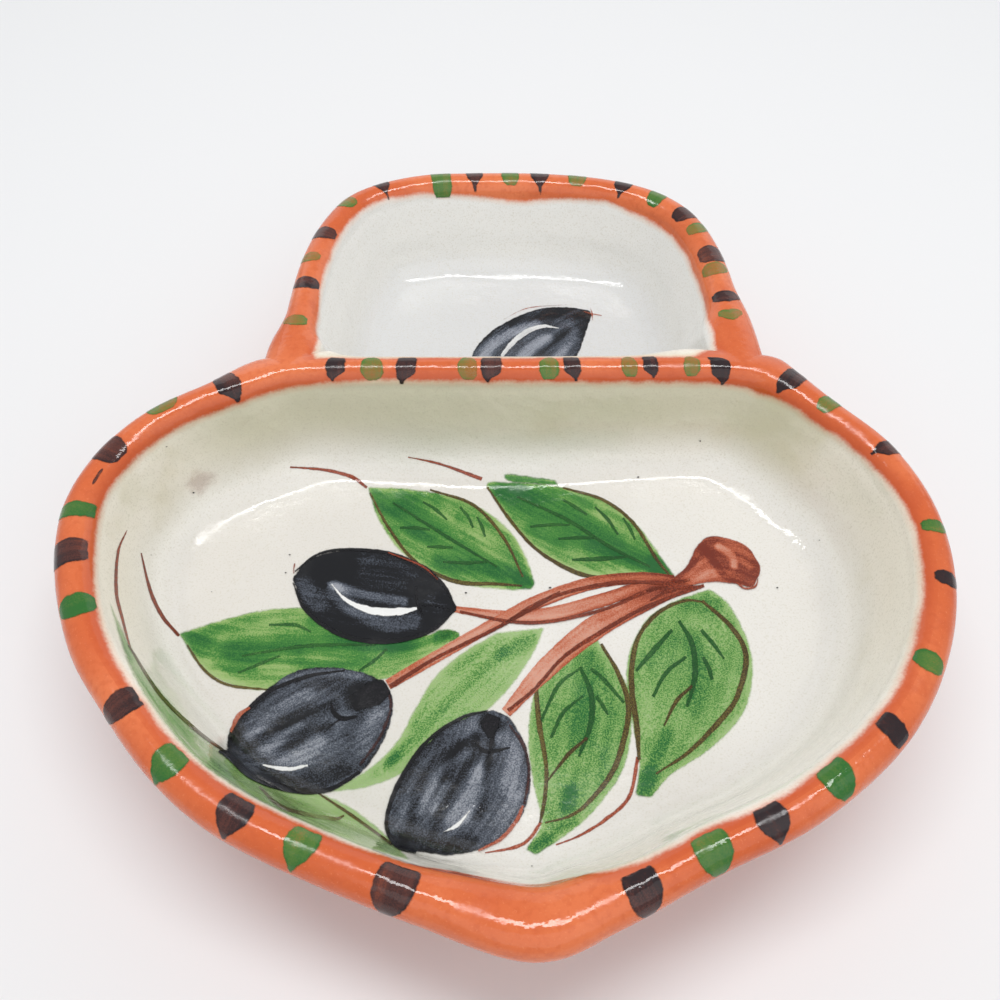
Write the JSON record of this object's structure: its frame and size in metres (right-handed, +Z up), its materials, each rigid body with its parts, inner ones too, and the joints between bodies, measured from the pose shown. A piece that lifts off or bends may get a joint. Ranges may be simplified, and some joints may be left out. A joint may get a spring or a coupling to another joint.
{
  "type": "olive dish",
  "caption": "Hand-painted glazed clay olive dish: a wide pointed bowl with a smaller stone cup joined to its back and a dabbed orange rim.",
  "frame": {"origin": "under the middle of the dish, on the table", "axes": "+Z up; +Y from the front point to the stone cup; +X to the right as seen from the front point"},
  "size_m": [0.182, 0.2001, 0.0367],
  "materials": {
    "glazed_clay": "orange-red earthenware under a clear gloss glaze",
    "bare_clay": "unglazed fired red clay",
    "white_slip": "cream-white slip under a clear gloss glaze",
    "dark_green_paint": "brushed green underglaze, glossy",
    "light_green_paint": "thin green underglaze wash, glossy",
    "red_brown_paint": "brushed red-brown underglaze, glossy",
    "dark_brown_paint": "brushed dark brown underglaze, glossy",
    "black_paint": "brushed black underglaze wash, glossy",
    "white_paint": "white highlight strokes, glossy",
    "green_dab_paint": "green underglaze dabs, glossy"
  },
  "bodies": {
    "root": {"large_bowl": "glazed_clay", "stone_cup": "glazed_clay", "bowl_foot": "bare_clay", "cup_foot": "bare_clay", "bowl_slip": "white_slip", "cup_slip": "white_slip", "leaf_back_left": "dark_green_paint", "leaf_back_right": "dark_green_paint", "leaf_left": "dark_green_paint", "leaf_middle": "light_green_paint", "leaf_wall": "light_green_paint", "leaf_front": "light_green_paint", "leaf_right": "light_green_paint", "stem_upper": "red_brown_paint", "stem_middle": "red_brown_paint", "stem_lower": "red_brown_paint", "twig_stub": "red_brown_paint", "olive_upper": "black_paint", "olive_left": "black_paint", "olive_front": "black_paint", "olive_in_cup": "black_paint", "leaf_outlines": "dark_brown_paint", "leaf_veins": "dark_brown_paint", "olive_caps": "black_paint", "olive_highlights": "white_paint", "fine_strokes": "red_brown_paint", "rim_dabs_dark": "dark_brown_paint", "rim_dabs_green": "green_dab_paint"}
  },
  "joints": []
}
